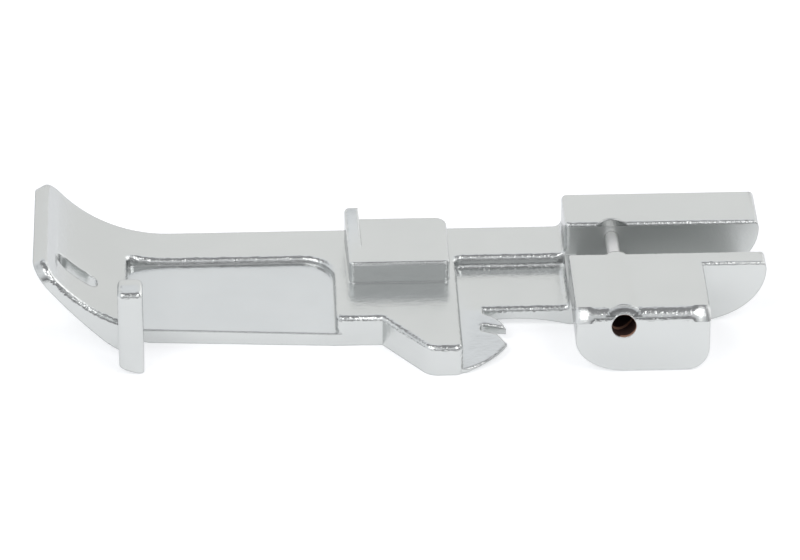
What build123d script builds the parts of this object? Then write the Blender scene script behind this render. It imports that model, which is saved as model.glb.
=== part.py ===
from build123d import *
from collections import Counter
import math
import os

# Presser foot of an overlock machine: one plated casting and the pin pressed across its heel.
# All sizes are in millimetres.
# X runs from toe to heel, Y from the knife side to the far side, Z up from the sole.

# Stretches that follow each other from toe to heel
toe_length = 8.0
relief_length = 18.9
plate_length = 11.3
beam_length = 10.1
heel_length = 17.9

# Body: the far band, the toe and the plate share one top level
foot_width = 22.0
band_width = 5.75
body_height = 2.95
body_round = 0.5

# Toe: a plate that curls up and thins towards its tip
toe_width = 17.8
toe_tip_width = 17.0
toe_top_radius = 13.0
toe_angle = 59.0
toe_bend_length = 11.9
toe_tip_thickness = 1.25
toe_tip_round = 2.2
sole_lift_length = 10.5
sole_bend_radius = 6.9
sole_bend_angle = 42.0
notch_round = 0.7

# Guide slot through the toe, along the foot
guide_slot_middle = 3.55
guide_slot_inset = 12.45
guide_slot_length = 3.7
guide_slot_width = 2.0

# Knife tab at the near corner of the toe, with a low root behind it
tab_length = 2.25
tab_overlap = 0.7
tab_overhang = 3.05
tab_depth = 3.15
tab_height = 8.3
tab_corner_round = 0.6
tab_round = 0.45
tab_root_length = 1.1
tab_root_depth = 3.0

# Knife relief: a floor that falls from the band to a thin lip at the knife line
knife_line = 5.6
lip_skew = 1.2
lip_height = 1.25
relief_step = 0.6
relief_bite = 0.4
relief_corner_round = 3.0

# Plate: its near side steps out to the foot's full width
plate_shoulder_length = 4.2
plate_ramp_length = 4.05
plate_nose_round = 1.6
plate_corner_round = 0.7

# Raised block and the fin at its toe end
block_length = 9.15
block_offset = 1.45
block_inset = 1.95
block_width = 8.35
block_rise = 2.15
block_skew = 0.27
block_corner_round = 0.5
block_heel_round = 1.1
block_round = 0.25
fin_thickness = 1.3
fin_rise = 1.27
fin_run = 6.4

# Beam and stitch tongue: the hook is placed from the beam's front
beam_height = 1.82
beam_round = 0.5
beam_band_flare = 0.4
beam_heel_flare = 0.6
arch_rise = 0.7
tongue_tip_height = 0.45
tongue_reach = 4.15
tongue_tip_inset = 4.85
tongue_near = 0.3
tongue_root_length = 0.45
tongue_root_angle = 21.0
tongue_round = 0.2
hook_depth = 2.3
hook_width = 0.9
hook_inset = 2.95
hook_round = 0.36
beak_length = 0.8
beak_width = 1.35
prong_inset = 2.75
prong_root_length = 2.2
prong_root_inset = 0.6
prong_bulge = 0.37

# Heel block: far wall, near wall and boss, with the ankle slot between the walls
heel_height = 6.2
ankle_slot_width = 5.5
near_wall_width = 2.1
slot_end_wall = 1.1
heel_curve_length = 7.0
heel_curve_height = 5.4
heel_end_round = 0.75
heel_round = 0.35
heel_flare = 0.8
boss_length = 12.1
boss_front_curve_length = 4.5
boss_front_curve_height = 3.2
boss_back_curve_length = 2.0
boss_back_curve_height = 2.2
boss_round = 1.1

# Cross pin, the ridge over it and its stepped bore
pin_diameter = 1.2
pin_station = 4.3
pin_height = 4.75
pin_fit = 0.02
pin_grip = 3.4
ridge_radius = 1.95
ridge_root_radius = 1.65
ridge_end_radius = 1.3
ridge_setback = 0.2
ridge_far_length = 1.3
ridge_round = 0.6
counterbore_diameter = 2.2
counterbore_depth = 5.0

# Stations worked out from the sizes above
toe_end = toe_length
plate_start = toe_end + relief_length
plate_end = plate_start + plate_length
heel_start = plate_end + beam_length
heel_end = heel_start + heel_length
band_front = foot_width - band_width
relief_back = band_front + relief_bite
shoulder_end = plate_start + plate_shoulder_length
ramp_end = shoulder_end + plate_ramp_length
toe_near = foot_width - toe_width
tab_start = toe_end - tab_overlap
tab_end = tab_start + tab_length
tab_near = toe_near - tab_overhang
tab_far = tab_near + tab_depth
block_far = foot_width - block_inset
block_near = block_far - block_width
slot_far = band_front
slot_near = slot_far - ankle_slot_width
near_wall_front = slot_near - near_wall_width
beam_near = near_wall_front
pin_x = heel_start + pin_station
overlap = 0.5
body_end = heel_start + 2 * overlap
relief_end = plate_start + plate_corner_round + overlap
ceiling = 2 * heel_height


def side_solid(face, near, far):
    # A side view in X and Z carried across the foot from near to far
    return Pos(0, far, 0) * extrude(Plane.XZ * face, far - near)


def plan_solid(face, bottom, top):
    # A plan view carried up from bottom to top
    return Pos(0, 0, bottom) * extrude(face, top - bottom)


def cross_solid(face, start, end):
    # A cross section in Y and Z carried along the foot from start to end
    return Pos(start, 0, 0) * extrude(Plane.YZ * face, end - start)


def round_corners(face, radius, *corners):
    picked = [face.vertices().sort_by_distance(corner)[0] for corner in corners]
    return fillet(picked, radius)


def rim_edges(solid, steepest=0.8):
    # Edges that bound the upward faces of a solid, without those between two such faces
    upward = solid.faces().filter_by(lambda face: face.normal_at().Z > steepest)
    counts = Counter(edge for face in upward for edge in face.edges())
    return ShapeList(edge for edge, count in counts.items() if count == 1)


def toe_curves():
    # The sole leaves the flat in a tight arc and runs to the tip in a slack one
    lean = math.radians(toe_angle)
    inward = Vector(-math.sin(lean), -math.cos(lean))
    top_center = (toe_bend_length, body_height + toe_top_radius)
    top_arc = CenterArc(top_center, toe_top_radius, 270 - toe_angle, toe_angle)
    tip_bottom = (top_arc @ 0) + inward * toe_tip_thickness
    sole_center = (sole_lift_length, sole_bend_radius)
    sole_bend = CenterArc(sole_center, sole_bend_radius, 270 - sole_bend_angle, sole_bend_angle)
    sole_run = TangentArc(sole_bend @ 0, tip_bottom, tangent=(sole_bend % 0) * -1)
    return sole_run, sole_bend, top_arc


def body_side_view():
    sole_run, sole_bend, top_arc = toe_curves()
    tip = Line(sole_run @ 1, top_arc @ 0)
    rest = Polyline(top_arc @ 1, (body_end, body_height), (body_end, 0), (sole_lift_length, 0))
    return make_face(sole_run + sole_bend + tip + top_arc + rest)


def above_sole():
    # Everything over the rising underside of the toe
    sole_run, sole_bend = toe_curves()[:2]
    tip = sole_run @ 1
    rest = Polyline(
        tip,
        (tip.X, ceiling),
        (plate_end, ceiling),
        (plate_end, 0),
        (sole_lift_length, 0),
    )
    return side_solid(make_face(sole_run + sole_bend + rest), 0, foot_width)


def body_plan(tip):
    outline = Polyline(
        (tip, foot_width - toe_tip_width),
        (toe_end, toe_near),
        (toe_end, relief_back),
        (plate_start, relief_back),
        (plate_start, knife_line),
        (shoulder_end, knife_line),
        (ramp_end, 0),
        (plate_end, 0),
        (plate_end, band_front),
        (body_end, band_front),
        (body_end, foot_width),
        (tip, foot_width),
        close=True,
    )
    face = make_face(outline)
    face = round_corners(face, notch_round, (toe_end, toe_near), (toe_end, relief_back))
    face = round_corners(face, relief_corner_round, (plate_start, relief_back))
    face = round_corners(face, plate_nose_round, (ramp_end, 0))
    plate_corners = ((plate_start, knife_line), (plate_end, 0), (plate_end, band_front))
    return round_corners(face, plate_corner_round, *plate_corners)


def make_body():
    side = body_side_view()
    tip = side.bounding_box().min.X
    body = side_solid(side, 0, foot_width) & plan_solid(body_plan(tip), -overlap, ceiling)
    tip_face = body.faces().sort_by(Axis.X)[0]
    body = fillet(tip_face.edges().filter_by(Axis.Y, reverse=True), toe_tip_round)
    rim = rim_edges(body).filter_by_position(Axis.X, 0, heel_start)
    return fillet(rim, body_round)


def make_guide_slot():
    slot = SlotOverall(guide_slot_length, guide_slot_width)
    return plan_solid(Pos(guide_slot_middle, foot_width - guide_slot_inset) * slot, 0, ceiling)


def make_tab():
    middle = (tab_start + tab_end) / 2
    outline = RectangleRounded(tab_length, tab_depth, tab_corner_round)
    tab = plan_solid(Pos(middle, tab_near + tab_depth / 2) * outline, 0, tab_height)
    tab = fillet(tab.edges().group_by(Axis.Z)[-1], tab_round)
    root_depth = tab_root_depth + overlap
    root = Rectangle(tab_root_length, root_depth)
    tab += plan_solid(Pos(middle, tab_far - overlap + root_depth / 2) * root, 0, body_height)
    return tab & above_sole()


def make_relief_floor():
    floor_back = body_height - relief_step
    section = Polyline(
        (knife_line, 0),
        (relief_back + overlap, 0),
        (relief_back + overlap, floor_back),
        (relief_back, floor_back),
        (knife_line, lip_height),
        close=True,
    )
    floor = cross_solid(make_face(section), toe_end - overlap, relief_end)
    plan = Polyline(
        (toe_end - overlap, knife_line + lip_skew),
        (tab_end, knife_line + lip_skew),
        (plate_start, knife_line),
        (relief_end, knife_line),
        (relief_end, relief_back + overlap),
        (toe_end - overlap, relief_back + overlap),
        close=True,
    )
    return floor & plan_solid(make_face(plan), 0, body_height) & above_sole()


def make_block():
    start = plate_start + block_offset
    end = start + block_length
    top = body_height + block_rise
    back = start - block_skew
    corners = ((start, block_near), (end, block_near), (end, block_far), (back, block_far))
    outline = make_face(Polyline(*corners, close=True))
    outline = round_corners(outline, block_heel_round, corners[2])
    outline = round_corners(outline, block_corner_round, corners[0], corners[1], corners[3])
    block = plan_solid(outline, body_height - overlap, top)
    block = fillet(block.edges().group_by(Axis.Z)[-1], block_round)
    fall = fin_rise / fin_run
    ramp = Polyline(
        (block_near, body_height),
        (block_far, body_height),
        (block_far, top + fin_rise),
        (block_near, top + fin_rise - fall * block_width),
        close=True,
    )
    fin = plan_solid(outline, body_height, top + fin_rise)
    fin &= cross_solid(make_face(ramp), back, end)
    strip = Polyline(
        corners[0],
        (start + fin_thickness, block_near),
        (back + fin_thickness, block_far),
        corners[3],
        close=True,
    )
    fin &= plan_solid(make_face(strip), body_height, ceiling)
    fin = fillet(rim_edges(fin), block_round)
    return block + fin


def inside_corner(radius):
    # Section that fills an inside corner at the origin with a hollow curve, open to the upper left
    arc = CenterArc((-radius, radius), radius, 270, 90)
    rest = Polyline(arc @ 1, (overlap, radius), (overlap, -overlap), (-radius, -overlap), arc @ 0)
    return make_face(arc + rest)


def make_beam():
    # The beam flares up into the heel and into the band
    length = beam_length + 2 * overlap
    middle = Pos(plate_end - overlap + length / 2, beam_height / 2)
    side = middle * Rectangle(length, beam_height)
    side += Pos(heel_start, beam_height) * inside_corner(beam_heel_flare)
    beam = side_solid(side, beam_near, band_front + overlap)
    front_face = beam.faces().sort_by(Axis.Y)[0]
    rim = rim_edges(beam, 0.5) & front_face.edges()
    beam = fillet(rim, beam_round)
    flare = Pos(band_front, beam_height) * inside_corner(beam_band_flare)
    return beam + cross_solid(flare, plate_end - overlap, heel_start + overlap)


def make_tongue():
    tip = (plate_end + tongue_reach, beam_near - tongue_tip_inset)
    root = (plate_end + tongue_root_length, tongue_near)
    leaving = math.radians(tongue_root_angle)
    hook_end = tip[0] - hook_depth
    hook_near = beam_near - hook_inset
    belly = TangentArc(root, tip, tangent=(math.cos(leaving), math.sin(leaving)))
    prong_tip = Vector(tip[0], beam_near - prong_inset)
    prong_root = Vector(plate_end + prong_root_length, beam_near - prong_root_inset)
    hook = Polyline(
        tip,
        (tip[0] - beak_length, tip[1] + beak_width),
        (hook_end, hook_near),
        (hook_end, hook_near + hook_width),
        prong_tip,
    )
    prong = SagittaArc(prong_root, prong_tip, prong_bulge)
    rest = Polyline(
        prong_root,
        (prong_root.X, beam_near + overlap),
        (plate_end - overlap, beam_near + overlap),
        (plate_end - overlap, tongue_near),
        root,
    )
    plan = make_face(belly + hook + prong + rest)
    plan = round_corners(plan, hook_round, (hook_end, hook_near), (hook_end, hook_near + hook_width))
    slope = Polyline(
        (0, 0),
        (beam_near + overlap, 0),
        (beam_near + overlap, beam_height),
        (beam_near, beam_height),
        (0, tongue_tip_height),
        close=True,
    )
    tongue = plan_solid(plan, 0, heel_height)
    tongue &= cross_solid(make_face(slope), plate_end - overlap, heel_start)
    rim = rim_edges(tongue).sort_by(Axis.Y)[:-1]
    return fillet(rim.filter_by_position(Axis.X, plate_end, heel_start), tongue_round)


def make_arch():
    # Shallow hollow under the beam where the finished stitches pass
    middle = ((plate_end + heel_start) / 2, arch_rise)
    arc = ThreePointArc((plate_end, 0), middle, (heel_start, 0))
    return side_solid(make_face(arc + Line((heel_start, 0), (plate_end, 0))), 0, foot_width)


def quarter_ellipse(end, length, height, start_angle):
    # Rounds a lower corner in side view: start angle 180 at the toe side, 270 at the heel side
    center_x = end + length if start_angle == 180 else end - length
    return EllipticalCenterArc((center_x, height), length, height, start_angle=start_angle, arc_size=90)


def heel_side_view():
    curve = quarter_ellipse(heel_end, heel_curve_length, heel_curve_height, 270)
    rest = Polyline(
        curve @ 1,
        (heel_end, heel_height),
        (heel_start, heel_height),
        (heel_start, 0),
        curve @ 0,
    )
    return make_face(curve + rest)


def boss_side_view():
    boss_end = heel_start + boss_length
    front = quarter_ellipse(heel_start, boss_front_curve_length, boss_front_curve_height, 180)
    back = quarter_ellipse(boss_end, boss_back_curve_length, boss_back_curve_height, 270)
    sole = Line(front @ 1, back @ 0)
    rest = Polyline(back @ 1, (boss_end, heel_height), (heel_start, heel_height), front @ 0)
    return make_face(front + sole + back + rest)


def make_far_wall():
    # The wall rises from the band in a hollow curve and keeps the band's rounded edges
    side = heel_side_view() + Pos(heel_start, body_height) * inside_corner(heel_flare)
    wall = side_solid(side, slot_far, foot_width)
    toe_side = wall.edges().filter_by_position(Axis.X, heel_start - heel_flare, heel_start)
    toe_side = toe_side.filter_by_position(Axis.Z, body_height, heel_height).filter_by(Axis.Y, reverse=True)
    wall = fillet(toe_side, body_round)
    return fillet(rim_edges(wall), heel_round)


def make_near_wall():
    # The near wall and the bored boss that stands out from it
    wall = side_solid(heel_side_view(), near_wall_front, slot_near)
    wall += side_solid(boss_side_view(), 0, near_wall_front)
    front_edge = rim_edges(wall).filter_by(Axis.X).sort_by(Axis.Y)[0]
    wall = fillet(front_edge, boss_round)
    return fillet(rim_edges(wall).sort_by(Axis.Y)[1:], heel_round)


def make_slot_floor():
    # Floor of the ankle slot, with a low wall at its toe end
    bed = side_solid(heel_side_view(), slot_near - overlap, slot_far + overlap)
    levels = Polyline(
        (heel_start, 0),
        (heel_end, 0),
        (heel_end, beam_height),
        (heel_start + slot_end_wall, beam_height),
        (heel_start + slot_end_wall, body_height),
        (heel_start, body_height),
        close=True,
    )
    return bed & side_solid(make_face(levels), 0, foot_width)


def make_end_corner():
    # What the round at the top of the heel end takes off both walls
    center = (heel_end - heel_end_round, heel_height - heel_end_round)
    arc = CenterArc(center, heel_end_round, 0, 90)
    rest = Polyline(
        arc @ 1,
        (center[0], heel_height + overlap),
        (heel_end + overlap, heel_height + overlap),
        (heel_end + overlap, center[1]),
        arc @ 0,
    )
    return side_solid(make_face(arc + rest), 0, foot_width)


def pin_line(diameter, near, far):
    return side_solid(Pos(pin_x, pin_height) * Circle(diameter / 2), near, far)


def ridge_cone(near, far, far_radius):
    # The ridge swells round the pin line and sinks into the wall top towards the far side
    cone = Cone(ridge_radius, far_radius, far - near)
    return Pos(pin_x, (near + far) / 2, pin_height) * Rot(-90, 0, 0) * cone


def make_ridge():
    near = ridge_cone(ridge_setback, slot_near, ridge_root_radius)
    near = fillet(near.edges().group_by(Axis.Y)[0], ridge_round)
    far = ridge_cone(slot_far, slot_far + ridge_far_length, ridge_end_radius)
    return near + far


def make_casting():
    casting = make_body() - make_guide_slot()
    casting += make_relief_floor()
    casting += make_tab()
    casting += make_block()
    casting += make_beam()
    casting += make_tongue()
    casting -= make_arch()
    casting += make_far_wall()
    casting += make_near_wall()
    casting += make_slot_floor()
    casting -= make_end_corner()
    casting += make_ridge()
    casting -= pin_line(counterbore_diameter, -overlap, counterbore_depth)
    casting -= pin_line(pin_diameter + pin_fit, 0, slot_far + pin_grip)
    return casting


def make_pin():
    return pin_line(pin_diameter, counterbore_depth, slot_far + pin_grip)


casting = make_casting()
pin = make_pin()
box = casting.bounding_box()
to_origin = Pos(-box.center().X, -box.center().Y, -box.min.Z)

os.makedirs("parts", exist_ok=True)
export_step(to_origin * casting, "parts/foot_casting.step")
export_step(to_origin * pin, "parts/cross_pin.step")
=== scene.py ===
import bpy
import math
import numpy as np
from functools import partial
from types import SimpleNamespace
from mathutils import Matrix, Vector


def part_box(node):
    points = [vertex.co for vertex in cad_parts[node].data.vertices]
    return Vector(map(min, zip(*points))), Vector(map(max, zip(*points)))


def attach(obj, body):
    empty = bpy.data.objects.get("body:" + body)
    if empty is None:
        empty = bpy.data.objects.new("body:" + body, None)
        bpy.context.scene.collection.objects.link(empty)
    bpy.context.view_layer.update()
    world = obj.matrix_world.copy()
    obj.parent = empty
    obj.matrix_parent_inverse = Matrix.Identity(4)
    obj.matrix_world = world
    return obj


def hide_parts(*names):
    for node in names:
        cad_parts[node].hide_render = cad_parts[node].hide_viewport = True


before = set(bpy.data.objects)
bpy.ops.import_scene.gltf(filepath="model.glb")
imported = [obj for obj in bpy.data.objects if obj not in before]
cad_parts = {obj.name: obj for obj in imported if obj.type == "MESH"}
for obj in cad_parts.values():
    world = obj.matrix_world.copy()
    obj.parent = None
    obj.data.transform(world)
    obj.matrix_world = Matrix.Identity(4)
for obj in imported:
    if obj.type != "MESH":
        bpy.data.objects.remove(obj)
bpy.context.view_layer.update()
print("stage: frame loaded")

mm = 0.001  # row frame is in metres


# node helpers

def newMaterial(name):
    material = bpy.data.materials.new(name)
    material.use_nodes = True
    material.node_tree.nodes.clear()
    return material, material.node_tree.nodes, material.node_tree.links


def addNode(nodes, kind, **settings):
    node = nodes.new(kind)
    for key, value in settings.items():
        setattr(node, key, value)
    return node


def mathNode(nodes, links, operation, first, second=None, third=None, clamp=False):
    node = addNode(nodes, "ShaderNodeMath", operation=operation, use_clamp=clamp)
    for socket, value in zip(node.inputs, (first, second, third)):
        if value is None:
            continue
        if isinstance(value, (int, float)):
            socket.default_value = value
        else:
            links.new(value, socket)
    return node.outputs[0]


def productOf(nodes, links, first, *others):
    for other in others:
        first = mathNode(nodes, links, "MULTIPLY", first, other)
    return first


def rampNode(nodes, links, factor, stops):
    node = nodes.new("ShaderNodeValToRGB")
    elements = node.color_ramp.elements
    while len(elements) < len(stops):
        elements.new(0.5)
    for element, (position, colour) in zip(elements, stops):
        element.position = position
        element.color = (*colour, 1.0)
    links.new(factor, node.inputs["Fac"])
    return node.outputs["Color"]


def noiseNode(nodes, links, vector, scale, detail=3.0, roughness=0.5):
    node = nodes.new("ShaderNodeTexNoise")
    node.inputs["Scale"].default_value = scale
    node.inputs["Detail"].default_value = detail
    node.inputs["Roughness"].default_value = roughness
    links.new(vector, node.inputs["Vector"])
    return node.outputs["Fac"]


def millimetreCoordinates(nodes, links, scale=(1.0, 1.0, 1.0)):
    coordinates = nodes.new("ShaderNodeTexCoord")
    mapping = nodes.new("ShaderNodeMapping")
    mapping.inputs["Scale"].default_value = [value / mm for value in scale]
    links.new(coordinates.outputs["Object"], mapping.inputs["Vector"])
    return mapping.outputs["Vector"]


def mixColour(nodes, links, factor, first, second):
    node = addNode(nodes, "ShaderNodeMix", data_type="RGBA")
    links.new(factor, node.inputs["Factor"])
    for socket, value in zip((node.inputs[6], node.inputs[7]), (first, second)):
        if isinstance(value, tuple):
            socket.default_value = (*value, 1.0)
        else:
            links.new(value, socket)
    return node.outputs[2]


# pieces

meshing = {
    "cornerStep": 1e-7,
    "normalSteps": 400,
    "offsetStep": 4e-6,
    "shortestSide": 0.02,
    "roundFrom": 0.72,
    "roundOver": 0.2,
}


def flatsOf(points, triangles):
    # triangles of one plane make a flat: plane key = rounded normal and offset
    place = points[triangles]
    sides = (np.roll(place, -1, axis=1) - place).astype(np.float64)
    doubled = np.cross(sides[:, 0], -sides[:, 2])
    area = np.linalg.norm(doubled, axis=1)
    normal = doubled / np.maximum(area, 1e-30)[:, None]
    offset = np.einsum("ij,ij->i", normal, points[triangles[:, 0]])
    flatKey = np.column_stack([
        np.round(normal * meshing["normalSteps"]),
        np.round(offset / meshing["offsetStep"]),
    ]).astype(np.int64)
    flatIndex = np.unique(flatKey, axis=0, return_inverse=True)[1].reshape(-1)
    return normal, np.bincount(flatIndex, area)[flatIndex]


def cornerNormals(points, triangles, normal, weight, look):
    # normal at a corner = sum of (area of the flat it lies on) x (normal) over the triangles that share
    # the vertex and lean from this one by less than the crease angle, which is smaller beside a broad flat
    vertex = triangles.ravel()
    order = np.argsort(vertex, kind="stable")
    share = np.bincount(vertex, minlength=len(points))
    start = np.cumsum(share) - share
    count = share[vertex]
    first = np.repeat(np.arange(len(vertex)), count)
    step = np.arange(count.sum()) - np.repeat(np.cumsum(count) - count, count)
    second = order[start[vertex[first]] + step]
    ownNormal, otherNormal = normal[first // 3], normal[second // 3]
    broad = np.maximum(weight[first // 3], weight[second // 3]) > look["broadFlat"] * mm * mm * 2
    crease = np.where(broad, look["flatCreaseDegrees"], look["creaseDegrees"])
    close = np.einsum("ij,ij->i", ownNormal, otherNormal) > np.cos(np.radians(crease))
    added = otherNormal * (weight[second // 3] * close)[:, None]
    total = np.column_stack([np.bincount(first, added[:, axis], len(vertex)) for axis in range(3)])
    return total / np.linalg.norm(total, axis=1)[:, None]


def bendOf(points, triangles, normals):
    # bend of a triangle per mm = largest (change of normal) / (length) along its sides
    place, turned = points[triangles].astype(np.float64), normals.reshape(-1, 3, 3)
    length = np.linalg.norm(place - np.roll(place, 1, axis=1), axis=2)
    change = np.linalg.norm(turned - np.roll(turned, 1, axis=1), axis=2)
    return (change / np.maximum(length / mm, meshing["shortestSide"])).max(axis=1)


def mergedPiece(nodeName, pieceName, look):
    # copy of the CAD triangles with equal corners joined: corner key = round(xyz / corner step)
    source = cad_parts[nodeName].data
    corners = np.empty(len(source.vertices) * 3, np.float32)
    source.vertices.foreach_get("co", corners)
    corners = corners.reshape(-1, 3)
    used = np.empty(len(source.loops), np.int32)
    source.loops.foreach_get("vertex_index", used)
    keys = np.round(corners.astype(np.float64) / meshing["cornerStep"]).astype(np.int64)
    firstIndex, inverse = np.unique(keys, axis=0, return_index=True, return_inverse=True)[1:]
    points = corners[firstIndex]
    triangles = inverse.reshape(-1)[used].reshape(-1, 3)
    whole = (triangles != np.roll(triangles, 1, axis=1)).all(axis=1)
    triangles = triangles[whole].astype(np.int32)
    mesh = bpy.data.meshes.new(pieceName)
    mesh.vertices.add(len(points))
    mesh.vertices.foreach_set("co", points.ravel())
    mesh.loops.add(triangles.size)
    mesh.loops.foreach_set("vertex_index", triangles.ravel())
    mesh.polygons.add(len(triangles))
    mesh.polygons.foreach_set("loop_start", np.arange(0, triangles.size, 3, dtype=np.int32))
    mesh.update(calc_edges=True)
    mesh.shade_smooth()
    normal, weight = flatsOf(points, triangles)
    normals = cornerNormals(points, triangles, normal, weight, look)
    mesh.normals_split_custom_set(normals)
    # 0 on flats, 1 on rounds under about 1.2 mm
    edgeRound = mesh.attributes.new("edgeRound", "FLOAT", "FACE")
    bend = (bendOf(points, triangles, normals) - meshing["roundFrom"]) / meshing["roundOver"]
    edgeRound.data.foreach_set("value", np.clip(bend, 0.0, 1.0).astype(np.float32))
    piece = bpy.data.objects.new(pieceName, mesh)
    bpy.context.scene.collection.objects.link(piece)
    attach(piece, "root")
    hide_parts(nodeName)
    return piece


# lengths in mm, angles in degrees, noises as scale, detail and roughness
# boss and ridge are measured from the pin line, depths from the knife side
castingLook = {
    "colour": (0.675, 0.69, 0.682),
    "colourDarker": (0.62, 0.635, 0.63),
    "glancing": (0.8, 0.8, 0.81),
    "cloudNoise": (0.16, 3.0),
    "toeDarkening": (-20.0, 6.0, 0.5),
    "roughness": 0.23,
    "roughnessSpread": 0.06,
    "markStretch": (0.35, 7.0, 7.0),
    "markNoise": (1.0, 2.0),
    "patchNoise": (0.7, 4.0, 0.6),
    "peel": 0.02,
    "peelNoise": (0.9, 2.0),
    "grain": 0.014,
    "grainNoise": (3.4, 2.0, 0.6),
    "edgeSpeckle": 0.06,
    "speckleNoise": (3.2, 1.0),
    "edgeRadius": 0.28,
    "edgeSamples": 6,
    "bossEnds": (-4.3, 7.8),
    "bossEndRun": 1.7,
    "bossEndFall": 0.5,
    "bossEndSpill": 0.6,
    "bossFlatAngle": 44.0,
    "bossFlatRun": 0.6,
    "bossFlatten": 0.62,
    "bossFlatLeast": 0.3,
    "bossRound": 1.12,
    "bossTop": 1.45,
    "ridgeHalf": 1.9,
    "ringRadius": (1.5, 0.4),
    "ringDepth": (0.5, 0.46),
    "ringFrom": 0.9,
    "ringLean": 1.1,
    "tabLean": 0.15,
    "tabDepth": 3.0,
    "tabSide": -21.0,
    "slotSides": (-0.35, 5.35),
    "slotTop": 1.15,
    "slotRoughness": 0.2,
    # the bore's dark brown is partly painted shade; the colour after it is for painted glints
    "boreBrownAndShade": (0.055, 0.03, 0.026),
    "boreGlintColour": (0.42, 0.24, 0.17),
    "boreRadius": 1.12,
    "borePastPin": 0.3,
    "boreRoughness": 0.3,
    "glintSlope": -0.74,
    "glintDepth": (1.76, 0.22),
    "rimGlintDepth": 0.3,
    "rimGlintSide": -0.3,
    "creaseDegrees": 50.0,
    "flatCreaseDegrees": 26.0,
    "broadFlat": 15.0,
}

pinLook = {
    "colour": (0.82, 0.82, 0.81),
    "roughness": 0.46,
    "roughnessSpread": 0.16,
    "drawnStretch": (12.0, 0.5, 12.0),
    "drawnNoise": (1.0, 2.0),
    "creaseDegrees": 40.0,
    "flatCreaseDegrees": 40.0,
    "broadFlat": 15.0,
}


def pinAxis():
    low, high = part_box("cross_pin")
    return (low.x + high.x) / 2 / mm, (low.z + high.z) / 2 / mm, low.y / mm


def castingPlaces(nodes, links, look):
    # where a point is on the casting, in mm, with 0 or 1 for the regions
    calc = partial(mathNode, nodes, links)
    flat = millimetreCoordinates(nodes, links)
    parts = nodes.new("ShaderNodeSeparateXYZ")
    links.new(flat, parts.inputs["Vector"])
    x, y, z = (parts.outputs[axis] for axis in "XYZ")
    pinX, pinZ, pinY = pinAxis()
    acrossX = calc("SUBTRACT", x, pinX)
    acrossZ = calc("SUBTRACT", z, pinZ)
    squared = calc("MULTIPLY", acrossX, acrossX)
    squared = calc("MULTIPLY_ADD", acrossZ, acrossZ, squared)
    depth = calc("SUBTRACT", y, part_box("foot_casting")[0].y / mm)
    # bore: inside a cylinder about the pin line, in front of the pin's end
    nearAxis = calc("LESS_THAN", squared, look["boreRadius"] ** 2)
    beforePin = calc("LESS_THAN", y, pinY + look["borePastPin"])
    inBore = calc("MULTIPLY", nearAxis, beforePin)
    # boss: distance inside its nearer end, and its front round
    fromToe = calc("SUBTRACT", acrossX, look["bossEnds"][0])
    fromHeel = calc("SUBTRACT", look["bossEnds"][1], acrossX)
    inside = calc("MINIMUM", fromToe, fromHeel)
    inFront = calc("LESS_THAN", depth, look["bossRound"])
    highUp = calc("GREATER_THAN", acrossZ, look["bossTop"] - look["bossRound"])
    betweenEnds = calc("GREATER_THAN", inside, -look["bossEndSpill"])
    onRound = productOf(nodes, links, inFront, highUp, betweenEnds)
    return SimpleNamespace(
        flat=flat, x=x, y=y, depth=depth, acrossX=acrossX, acrossZ=acrossZ, squared=squared,
        inBore=inBore, inside=inside, onRound=onRound,
    )


def castingColour(nodes, links, look, place):
    calc = partial(mathNode, nodes, links)
    # slow change of the plating's tone, and darker towards the toe's tip
    darkeningFrom, darkeningRun, darkeningMost = look["toeDarkening"]
    cloud = noiseNode(nodes, links, place.flat, *look["cloudNoise"])
    onToe = calc("SUBTRACT", darkeningFrom, place.x)
    onToe = calc("DIVIDE", onToe, darkeningRun, clamp=True)
    towardsDarker = calc("MULTIPLY_ADD", onToe, darkeningMost, cloud, clamp=True)
    tone = mixColour(nodes, links, towardsDarker, look["colour"], look["colourDarker"])
    # the bore is unplated brown darkened with painted shade, with an orange-brown painted glint across it
    # and a painted glint on the right of its mouth
    glint = calc("MULTIPLY_ADD", place.acrossX, look["glintSlope"], place.depth)
    glint = calc("COMPARE", glint, *look["glintDepth"])
    atMouth = calc("LESS_THAN", place.depth, look["rimGlintDepth"])
    rimGlint = calc("MULTIPLY", atMouth, calc("GREATER_THAN", place.acrossX, look["rimGlintSide"]))
    paintedGlints = calc("MAXIMUM", glint, rimGlint)
    bore = mixColour(nodes, links, paintedGlints, look["boreBrownAndShade"], look["boreGlintColour"])
    return mixColour(nodes, links, place.inBore, tone, bore)


def castingRoughness(nodes, links, look, place):
    calc = partial(mathNode, nodes, links)
    # polishing marks along the foot and patches
    alongFoot = millimetreCoordinates(nodes, links, look["markStretch"])
    marks = noiseNode(nodes, links, alongFoot, *look["markNoise"])
    patches = noiseNode(nodes, links, place.flat, *look["patchNoise"])
    both = calc("ADD", marks, patches)
    least = look["roughness"] - look["roughnessSpread"]
    rough = calc("MULTIPLY_ADD", both, look["roughnessSpread"], least)
    rough = calc("MULTIPLY_ADD", place.inBore, look["boreRoughness"], rough)
    # the ankle slot is left as cast
    near, far = look["slotSides"]
    betweenWalls = calc("COMPARE", place.y, (near + far) / 2, (far - near) / 2)
    inHeel = calc("GREATER_THAN", place.acrossX, look["bossEnds"][0])
    belowTop = calc("LESS_THAN", place.acrossZ, look["slotTop"])
    inSlot = productOf(nodes, links, betweenWalls, inHeel, belowTop)
    return calc("MULTIPLY_ADD", inSlot, look["slotRoughness"], rough, clamp=True)


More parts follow.
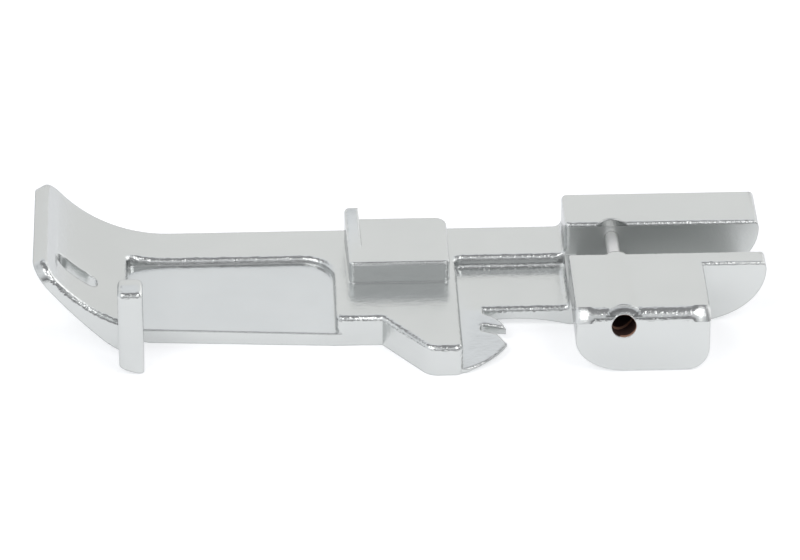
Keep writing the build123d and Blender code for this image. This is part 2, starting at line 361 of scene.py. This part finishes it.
def bossHeight(nodes, links, look, place, height):
    calc = partial(mathNode, nodes, links)
    radius, run = look["bossRound"], look["bossEndRun"]
    # the front round falls away softly towards its two ends: fall = k * (run - distance)^2 / (2 * run)
    nearEnd = calc("SUBTRACT", run, place.inside)
    onEnd = calc("MAXIMUM", nearEnd, 0.0)
    onEnd = productOf(nodes, links, onEnd, onEnd, place.onRound)
    height = calc("MULTIPLY_ADD", onEnd, -look["bossEndFall"] / (2 * run), height)
    # and flattens there: rise = -k * radius * ln(cos(angle round the edge - flat angle))
    flatAngle = math.radians(look["bossFlatAngle"])
    cosine = calc("SUBTRACT", place.acrossZ, look["bossTop"] - radius)
    cosine = calc("MULTIPLY", cosine, math.cos(flatAngle) / radius)
    sine = calc("SUBTRACT", radius, place.depth)
    cosine = calc("MULTIPLY_ADD", sine, math.sin(flatAngle) / radius, cosine)
    rise = calc("LOGARITHM", calc("MAXIMUM", cosine, look["bossFlatLeast"]), math.e)
    flattened = calc("DIVIDE", nearEnd, look["bossFlatRun"], clamp=True)
    rise = calc("MULTIPLY", rise, calc("MULTIPLY", flattened, place.onRound))
    return calc("MULTIPLY_ADD", rise, -look["bossFlatten"] * radius, height)


def castingHeight(nodes, links, look, place):
    calc = partial(mathNode, nodes, links)
    # plated skin: slight peel and fine grain
    peel = noiseNode(nodes, links, place.flat, *look["peelNoise"])
    grain = noiseNode(nodes, links, place.flat, *look["grainNoise"])
    height = calc("MULTIPLY", peel, look["peel"])
    height = calc("MULTIPLY_ADD", grain, look["grain"], height)
    height = bossHeight(nodes, links, look, place, height)
    # tumbled edges: coarse speckle on the rounds, but not on the boss's ends or the ridge
    rounds = addNode(nodes, "ShaderNodeAttribute", attribute_name="edgeRound")
    speckle = noiseNode(nodes, links, place.flat, *look["speckleNoise"])
    atEnd = calc("LESS_THAN", place.inside, look["bossEndRun"])
    smoothEnd = calc("MULTIPLY", place.onRound, atEnd)
    behindRound = calc("GREATER_THAN", place.depth, look["bossRound"])
    onRidge = calc("COMPARE", place.acrossX, 0.0, look["ridgeHalf"])
    smooth = calc("MULTIPLY_ADD", onRidge, behindRound, smoothEnd)
    speckle = productOf(nodes, links, speckle, rounds.outputs["Fac"], calc("SUBTRACT", 1.0, smooth))
    height = calc("MULTIPLY_ADD", speckle, look["edgeSpeckle"], height)
    # the ridge's front end leans back on a ring round the bore: lean = k * (height over the pin line)
    ring = calc("COMPARE", calc("SQRT", place.squared), *look["ringRadius"])
    overBore = calc("GREATER_THAN", place.acrossZ, look["ringFrom"])
    behindMouth = calc("COMPARE", place.depth, *look["ringDepth"])
    ring = productOf(nodes, links, ring, overBore, behindMouth, place.acrossZ)
    height = calc("MULTIPLY_ADD", ring, -look["ringLean"], height)
    # the knife tab's top is crowned: lean = k * (depth - tab depth)
    crown = calc("MINIMUM", place.depth, look["tabDepth"])
    crown = calc("SUBTRACT", crown, look["tabDepth"])
    crown = calc("MULTIPLY", crown, calc("LESS_THAN", place.x, look["tabSide"]))
    return calc("MULTIPLY_ADD", crown, look["tabLean"], height)


def castingMaterial(look):
    material, nodes, links = newMaterial("platedCasting")
    output = nodes.new("ShaderNodeOutputMaterial")
    shader = nodes.new("ShaderNodeBsdfPrincipled")
    links.new(shader.outputs["BSDF"], output.inputs["Surface"])
    # the plating reflects less at a glancing angle
    shader.inputs["Specular Tint"].default_value = (*look["glancing"], 1.0)
    place = castingPlaces(nodes, links, look)
    links.new(castingColour(nodes, links, look, place), shader.inputs["Base Color"])
    links.new(mathNode(nodes, links, "SUBTRACT", 1.0, place.inBore), shader.inputs["Metallic"])
    links.new(castingRoughness(nodes, links, look, place), shader.inputs["Roughness"])
    # cast edges are never sharp
    softEdge = addNode(nodes, "ShaderNodeBevel", samples=look["edgeSamples"])
    softEdge.inputs["Radius"].default_value = look["edgeRadius"] * mm
    bump = nodes.new("ShaderNodeBump")
    bump.inputs["Strength"].default_value = 1.0
    bump.inputs["Distance"].default_value = mm
    links.new(softEdge.outputs["Normal"], bump.inputs["Normal"])
    links.new(castingHeight(nodes, links, look, place), bump.inputs["Height"])
    links.new(bump.outputs["Normal"], shader.inputs["Normal"])
    return material


def pinMaterial(look):
    material, nodes, links = newMaterial("pinSteel")
    output = nodes.new("ShaderNodeOutputMaterial")
    shader = nodes.new("ShaderNodeBsdfPrincipled")
    shader.inputs["Metallic"].default_value = 1.0
    shader.inputs["Base Color"].default_value = (*look["colour"], 1.0)
    links.new(shader.outputs["BSDF"], output.inputs["Surface"])
    # drawing marks along the pin
    alongPin = millimetreCoordinates(nodes, links, look["drawnStretch"])
    drawn = noiseNode(nodes, links, alongPin, *look["drawnNoise"])
    least = look["roughness"] - look["roughnessSpread"] / 2
    rough = mathNode(nodes, links, "MULTIPLY_ADD", drawn, look["roughnessSpread"], least)
    links.new(rough, shader.inputs["Roughness"])
    return material


casting = mergedPiece("foot_casting", "castingSkin", castingLook)
casting.data.materials.append(castingMaterial(castingLook))
print("stage: casting", len(casting.data.polygons))

pin = mergedPiece("cross_pin", "pinSkin", pinLook)
pin.data.materials.append(pinMaterial(pinLook))
print("stage: pin", len(pin.data.polygons))


# stage, light and camera

floorLook = {"size": 4.0, "colour": (0.7, 0.7, 0.7), "glow": (0.98, 0.99, 1.01), "lift": 0.515}


def floorMaterial(look):
    material, nodes, links = newMaterial("paleFloor")
    output = nodes.new("ShaderNodeOutputMaterial")
    diffuse = nodes.new("ShaderNodeBsdfDiffuse")
    diffuse.inputs["Color"].default_value = (*look["colour"], 1.0)
    glow = nodes.new("ShaderNodeEmission")
    glow.inputs["Color"].default_value = (*look["glow"], 1.0)
    path = nodes.new("ShaderNodeLightPath")
    seen = mathNode(nodes, links, "MAXIMUM", path.outputs["Is Camera Ray"], path.outputs["Is Glossy Ray"])
    seen = mathNode(nodes, links, "MAXIMUM", seen, path.outputs["Is Transmission Ray"])
    links.new(mathNode(nodes, links, "MULTIPLY", seen, look["lift"]), glow.inputs["Strength"])
    both = nodes.new("ShaderNodeAddShader")
    links.new(diffuse.outputs[0], both.inputs[0])
    links.new(glow.outputs[0], both.inputs[1])
    links.new(both.outputs[0], output.inputs["Surface"])
    return material


def makeFloor(look):
    half = look["size"] / 2
    corners = [(-half, -half, 0), (half, -half, 0), (half, half, 0), (-half, half, 0)]
    mesh = bpy.data.meshes.new("paleFloor")
    mesh.from_pydata(corners, [], [(0, 1, 2, 3)])
    floor = bpy.data.objects.new("paleFloor", mesh)
    bpy.context.scene.collection.objects.link(floor)
    mesh.materials.append(floorMaterial(look))


makeFloor(floorLook)

# bands run over the foot: 0 at the back horizon, 0.5 overhead, 1 at the front horizon
# ends are slope and start along the foot
studio = {
    "back": (1.0, 1.0, 0.99),
    "sky": (1.06, 1.08, 1.12),
    "roof": (0.3, 0.3, 0.31),
    "front": (0.79, 0.8, 0.815),
    "edge": (0.1, 0.1, 0.105),
    "side": (0.95, 0.97, 1.0),
    "window": (1.9, 1.9, 1.9),
    "bands": {
        "back": (0.0, 0.2),
        "sky": (0.235, 0.29),
        "roof": (0.33, 0.65),
        "front": (0.73, 0.87),
        "edge": (0.91, 1.0),
    },
    "toeEnd": (-5.0, -3.0),
    "heelEnd": (7.0, -4.2),
    "heelSplit": 0.45,
    "level": 1.0,
}


def makeWorld(look):
    world = bpy.data.worlds.new("studio")
    bpy.context.scene.world = world
    world.use_nodes = True
    nodes, links = world.node_tree.nodes, world.node_tree.links
    nodes.clear()
    calc = partial(mathNode, nodes, links)
    output = nodes.new("ShaderNodeOutputWorld")
    background = nodes.new("ShaderNodeBackground")
    background.inputs["Strength"].default_value = look["level"]
    links.new(background.outputs[0], output.inputs["Surface"])
    coordinates = nodes.new("ShaderNodeTexCoord")
    parts = nodes.new("ShaderNodeSeparateXYZ")
    links.new(coordinates.outputs["Generated"], parts.inputs["Vector"])
    up = calc("MAXIMUM", parts.outputs["Z"], 0.0)
    turn = calc("ARCTAN2", up, parts.outputs["Y"])
    turn = calc("DIVIDE", turn, math.pi)
    stops = [(position, look[name]) for name, band in look["bands"].items() for position in band]
    colour = rampNode(nodes, links, turn, stops)
    # the toe end of the tent is light, the heel end has a window at the back and is dark in front
    toeEnd = calc("MULTIPLY_ADD", parts.outputs["X"], *look["toeEnd"], clamp=True)
    colour = mixColour(nodes, links, toeEnd, colour, look["side"])
    heelEnd = calc("MULTIPLY_ADD", parts.outputs["X"], *look["heelEnd"], clamp=True)
    window = calc("MULTIPLY", heelEnd, calc("LESS_THAN", turn, look["heelSplit"]))
    colour = mixColour(nodes, links, window, colour, look["window"])
    darkFront = calc("MULTIPLY", heelEnd, calc("GREATER_THAN", turn, look["heelSplit"]))
    colour = mixColour(nodes, links, darkFront, colour, look["roof"])
    links.new(colour, background.inputs["Color"])


makeWorld(studio)

lamps = {
    "key": {"place": (-0.3, -0.27, 0.51), "size": 0.34, "watts": 0.8},
    "fill": {"place": (0.3, -0.27, 0.51), "size": 0.34, "watts": 0.8},
}


def makeLamp(name, look):
    light = bpy.data.lights.new(name, "AREA")
    light.shape = "DISK"
    light.size = look["size"]
    light.energy = look["watts"]
    lamp = bpy.data.objects.new(name, light)
    lamp.location = look["place"]
    lamp.rotation_euler = (-Vector(look["place"])).to_track_quat("-Z", "Y").to_euler()
    bpy.context.scene.collection.objects.link(lamp)


for lampName, lampLook in lamps.items():
    makeLamp(lampName, lampLook)

view = {
    "azimuth": 2.2,
    "elevation": 30.03,
    "distance": 0.515,
    "aim": (0.00006, -0.0004, 0.0030),
    "aside": -0.00009,
    "raise": 0.00076,
    "lens": 254.0,
    "sensor": 36.0,
    "nearest": 0.01,
}


def makeCamera(look):
    azimuth, elevation = math.radians(look["azimuth"]), math.radians(look["elevation"])
    level = math.cos(elevation)
    ahead = Vector((math.sin(azimuth) * level, math.cos(azimuth) * level, -math.sin(elevation)))
    right = ahead.cross(Vector((0, 0, 1))).normalized()
    upward = right.cross(ahead)
    data = bpy.data.cameras.new("camera")
    data.lens = look["lens"]
    data.sensor_width = look["sensor"]
    data.clip_start = look["nearest"]
    camera = bpy.data.objects.new("camera", data)
    shifted = Vector(look["aim"]) + right * look["aside"] + upward * look["raise"]
    camera.location = shifted - ahead * look["distance"]
    camera.rotation_euler = Matrix((right, upward, -ahead)).transposed().to_euler()
    bpy.context.scene.collection.objects.link(camera)
    bpy.context.scene.camera = camera


makeCamera(view)
bpy.context.scene.view_settings.view_transform = "Standard"
print("stage: light and camera")
